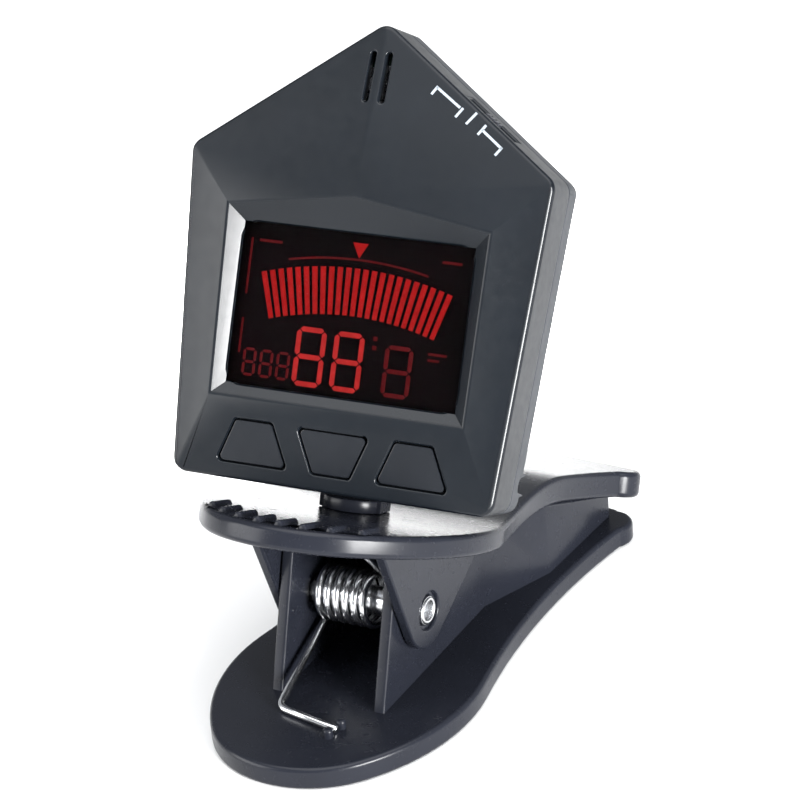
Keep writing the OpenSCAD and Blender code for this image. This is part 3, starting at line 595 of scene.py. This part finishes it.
SMALL_X = -10.9
SMALL_W = 1.4
SMALL_STEP = 1.8
small = []
for k in range(3):
    x = SMALL_X + SMALL_STEP * k
    small += digit(x, x + SMALL_W, DIGIT_LOW + 0.3, DIGIT_LOW + 3.1, 0.26)
small += digit(3.9, 6.8, DIGIT_LOW + 0.1, DIGIT_HIGH - 0.7, 0.42)
display_marks("octave_digits", small, faint_red)


def dash(x, y, w, h):
    return [(x, y), (x + w, y), (x + w, y + h), (x, y + h)]


COLON_X = 2.5
COLON_DOT = 0.42
UNIT_X = 8.3
EDGE_LINE_X = -11.5
EDGE_LINE_W = 0.2
colon = [dash(COLON_X, DIGIT_HIGH - drop, COLON_DOT, COLON_DOT) for drop in (0.5, 1.4)]
edge_lines = [dash(EDGE_LINE_X, 18.5, EDGE_LINE_W, 5.6), dash(EDGE_LINE_X, 12.6, EDGE_LINE_W, 3.5)]
unit_mark = [dash(UNIT_X, DIGIT_HIGH - 1.2, 1.9, 0.24), dash(UNIT_X, DIGIT_HIGH - 1.8, 1.2, 0.24)]
top_marks = [dash(-10.6, POINTER_TOP - 1.0, 2.4, 0.26), dash(8.6, POINTER_TOP - 1.0, 2.0, 0.26)]
display_marks("small_marks", colon + edge_lines + unit_mark + top_marks, faint_red)

# ---- printed marks beside the slide switch, laid on the facet of the face ----
front_mesh = nodes["front_housing"].data
front_tree = BVHTree.FromPolygons([v.co for v in front_mesh.vertices],
                                  [tuple(p.vertices) for p in front_mesh.polygons])


ABOVE_FACE = 20           # a height in mm that clears the face


def face_height(x, y):
    """Height of the face over a point of the head's frame, all in mm."""
    start = HEAD @ (Vector((x, y, ABOVE_FACE)) * MM)
    hit = front_tree.ray_cast(start, -head_z)[0]
    return (HEAD_INV @ hit).z / MM


def stroke(a, b, width):
    a, b = Vector(a), Vector(b)
    side = (b - a).normalized()
    side = Vector((-side.y, side.x)) * width / 2
    return [tuple(a - side), tuple(b - side), tuple(b + side), tuple(a + side)]


# A bracket, a tick and a bracket, at the three places of the switch
STROKE_W = 0.25
STROKE_LIFT = 0.02        # how far a stroke reaches over and under the face
SWITCH_STROKES = (((6.0, 40.65), (8.6, 38.9)), ((6.1, 40.75), (5.6, 39.9)), ((8.9, 38.9), (8.3, 37.95)),
                  ((9.45, 37.4), (10.3, 38.6)), ((11.1, 37.0), (13.3, 35.4)), ((11.4, 37.5), (10.75, 36.5)),
                  ((13.3, 35.55), (12.75, 34.7)))
bm = bmesh.new()
for a, b in SWITCH_STROKES:
    slab(bm, stroke(a, b, STROKE_W), lambda x, y: face_height(x, y) - STROKE_LIFT,
         lambda x, y: face_height(x, y) + STROKE_LIFT)
make_piece("switch_marks", bm, print_white, "head")


# ---- spring wire: the path of the CAD spring, drawn round and smooth ----
WIRE_R = 0.395
COIL_R = 2.6
COIL_X = -1.0
COIL_TURNS = 6
COIL_PITCH = 1.1
COIL_START = 302
COIL_END = 402
FOOT_BEND = (-3.7, -11.8)
FOOT_END = (3.8, -13.3)
FOOT_Z = BASE_T + 0.42
HOOK_Y = -7.5
HOOK_Z = PLATE_H - 0.43
HOOK_LEN = 4.4
FOOT_REACH = 1.0          # how far before and after a corner the wire bends
HOOK_REACH = 0.9
COIL_STEPS = 240
pivot_mm = PIVOT / MM
coil_half = COIL_TURNS * COIL_PITCH / 2
hook_x = COIL_X + coil_half


def lever_point(x, y, z):
    return pivot_mm + lever_x * x + lever_y * y + lever_z * z


def coil_point(t):
    a = math.radians(COIL_START + (360 * COIL_TURNS + COIL_END - COIL_START) * t)
    x = COIL_X - coil_half + 2 * coil_half * t
    return Vector((x, COIL_R * math.cos(a), pivot_mm.z + COIL_R * math.sin(a)))


def rounded_corner(a, b, c, reach, steps=6):
    """Points of a smooth bend at b between a and c."""
    p = b + (a - b).normalized() * reach
    q = b + (c - b).normalized() * reach
    fractions = [k / steps for k in range(steps + 1)]
    return [(1 - t) ** 2 * p + 2 * t * (1 - t) * b + t * t * q for t in fractions]


foot_end = Vector((*FOOT_END, FOOT_Z))
foot_corner = Vector((*FOOT_BEND, FOOT_Z))
coil = [coil_point(i / COIL_STEPS) for i in range(COIL_STEPS + 1)]
hook_corner = lever_point(hook_x, HOOK_Y, HOOK_Z)
hook_end = lever_point(hook_x - HOOK_LEN, HOOK_Y, HOOK_Z)
path = [foot_end] + rounded_corner(foot_end, foot_corner, coil[0], FOOT_REACH) + coil \
    + rounded_corner(coil[-1], hook_corner, hook_end, HOOK_REACH) + [hook_end]


def wire_mesh(name, path, radius, sides=14):
    """A round steel tube along a path (mm), with pointed caps; its piece rides on no body."""
    bm = bmesh.new()
    rings = []
    normal = None
    for i, point in enumerate(path):
        along = (path[min(i + 1, len(path) - 1)] - path[max(i - 1, 0)]).normalized()
        if normal is None:
            normal = along.orthogonal().normalized()
        normal = (normal - along * normal.dot(along)).normalized()
        other = along.cross(normal)
        rings.append([bm.verts.new((point + (math.cos(2 * math.pi * k / sides) * normal
                                             + math.sin(2 * math.pi * k / sides) * other) * radius) * MM)
                      for k in range(sides)])
    for lower, upper in zip(rings, rings[1:]):
        for k in range(sides):
            n = (k + 1) % sides
            bm.faces.new((lower[k], lower[n], upper[n], upper[k]))
    for ring, inner, end in ((rings[0], path[1], path[0]), (rings[-1], path[-2], path[-1])):
        tip = bm.verts.new((end + (end - inner).normalized() * radius * 0.35) * MM)
        for k in range(sides):
            bm.faces.new((ring[k], ring[(k + 1) % sides], tip))
    for face in bm.faces:
        face.smooth = True
    return make_piece(name, bm, spring_steel, None)


spring_wire = wire_mesh("spring_wire", path, WIRE_R)
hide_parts("torsion_spring")
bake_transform(spring_wire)


# ---- rolled rims of the hollow pivot pin, inside its outer radius ----
RIM_R = 1.2
RIM_WIRE = 0.26
RIM_SINK = 0.35           # share of the wire's radius that the rim sinks into the pin
RIM_SIDES = 48
RIM_WIRE_SIDES = 12
pin_low, pin_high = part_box("pivot_pin")
bm = bmesh.new()
for end, way in ((pin_low.x, -1), (pin_high.x, 1)):
    rings = []
    for k in range(RIM_SIDES):
        a = 2 * math.pi * k / RIM_SIDES
        ring = []
        for m in range(RIM_WIRE_SIDES):
            b = 2 * math.pi * m / RIM_WIRE_SIDES
            radius = RIM_R + RIM_WIRE * math.cos(b)
            point = Vector((0, radius * math.cos(a), radius * math.sin(a))) * MM
            point.x = end - PIVOT.x + way * RIM_WIRE * (math.sin(b) - RIM_SINK) * MM
            ring.append(bm.verts.new(PIVOT + point))
        rings.append(ring)
    for ring, after in zip(rings, rings[1:] + rings[:1]):
        for m in range(RIM_WIRE_SIDES):
            n = (m + 1) % RIM_WIRE_SIDES
            bm.faces.new((ring[m], after[m], after[n], ring[n])).smooth = True
make_piece("pivot_rims", bm, spring_steel, "lower_clip")


# ---- camera, floor and light ----
AZIMUTH = math.radians(30.57)
ELEVATION = math.radians(25.725)
ROLL = math.radians(-5.195)
DISTANCE = 264.4 * MM
TARGET = Vector((4.53, 3.70, 31.47)) * MM
SENSOR = 36
LENS = 119.55
back = Vector((math.sin(AZIMUTH) * math.cos(ELEVATION), -math.cos(AZIMUTH) * math.cos(ELEVATION),
               math.sin(ELEVATION)))
right = Vector((math.cos(AZIMUTH), math.sin(AZIMUTH), 0))
up = back.cross(right)
right, up = (math.cos(ROLL) * right + math.sin(ROLL) * up, -math.sin(ROLL) * right + math.cos(ROLL) * up)
camera_data = bpy.data.cameras.new("camera")
camera_data.sensor_width = SENSOR
camera_data.lens = LENS
camera_data.clip_start = 0.01
camera = bpy.data.objects.new("camera", camera_data)
scene.collection.objects.link(camera)
camera.matrix_world = axes_matrix(right, up, back, TARGET + DISTANCE * back)
scene.camera = camera

FLOOR_HALF = 4.0
FLOOR_GAP = 0.02 * MM
floor_mesh = bpy.data.meshes.new("floor")
corners = [(x * FLOOR_HALF, y * FLOOR_HALF, 0) for x, y in ((-1, -1), (1, -1), (1, 1), (-1, 1))]
floor_mesh.from_pydata(corners, [], [(0, 1, 2, 3)])
floor = bpy.data.objects.new("floor", floor_mesh)
scene.collection.objects.link(floor)
floor.location.z = cad_lo.z - FLOOR_GAP
floor_mat, floor_tree, floor_shader = new_material("floor_paper")
paper = ramp(floor_tree, noise(floor_tree, 6, 3), [(0.3, shade(WHITE, 0.93)), (0.7, shade(WHITE, 0.95))])
floor_tree.links.new(paper, floor_shader.inputs["Base Color"])
floor_shader.inputs["Roughness"].default_value = 0.8
floor_shader.inputs["Specular IOR Level"].default_value = 0.1
floor_mesh.materials.append(floor_mat)

scene.view_settings.view_transform = "Standard"
world = bpy.data.worlds.new("studio")
scene.world = world
world.use_nodes = True
world.node_tree.nodes["Background"].inputs["Color"].default_value = (0.93, 0.96, 1.0, 1)
world.node_tree.nodes["Background"].inputs["Strength"].default_value = 0.4


def softbox(name, place, aim, size, power, spread=180):
    """A soft light; place, aim and size are in metres, power in watts and spread in degrees."""
    data = bpy.data.lights.new(name, "AREA")
    data.shape = "RECTANGLE"
    data.size, data.size_y = size
    data.energy = power
    data.spread = math.radians(spread)
    lamp = bpy.data.objects.new(name, data)
    scene.collection.objects.link(lamp)
    lamp.location = place
    lamp.rotation_mode = "QUATERNION"
    lamp.rotation_quaternion = (Vector(aim) - Vector(place)).to_track_quat("-Z", "Y")


centre = (cad_lo + cad_hi) / 2
softbox("overhead", (0.1, -0.05, 0.9), centre, (1.0, 1.0), 10)
softbox("right_box", (0.6, -0.25, 0.12), centre, (0.24, 0.24), 11)
softbox("left_box", (-0.62, -0.55, 0.24), centre, (0.6, 0.6), 7)
softbox("floor_glow", (-0.07, 0.12, 0.3), (-0.058, 0.085, 0), (0.04, 0.04), 0.25, spread=20)
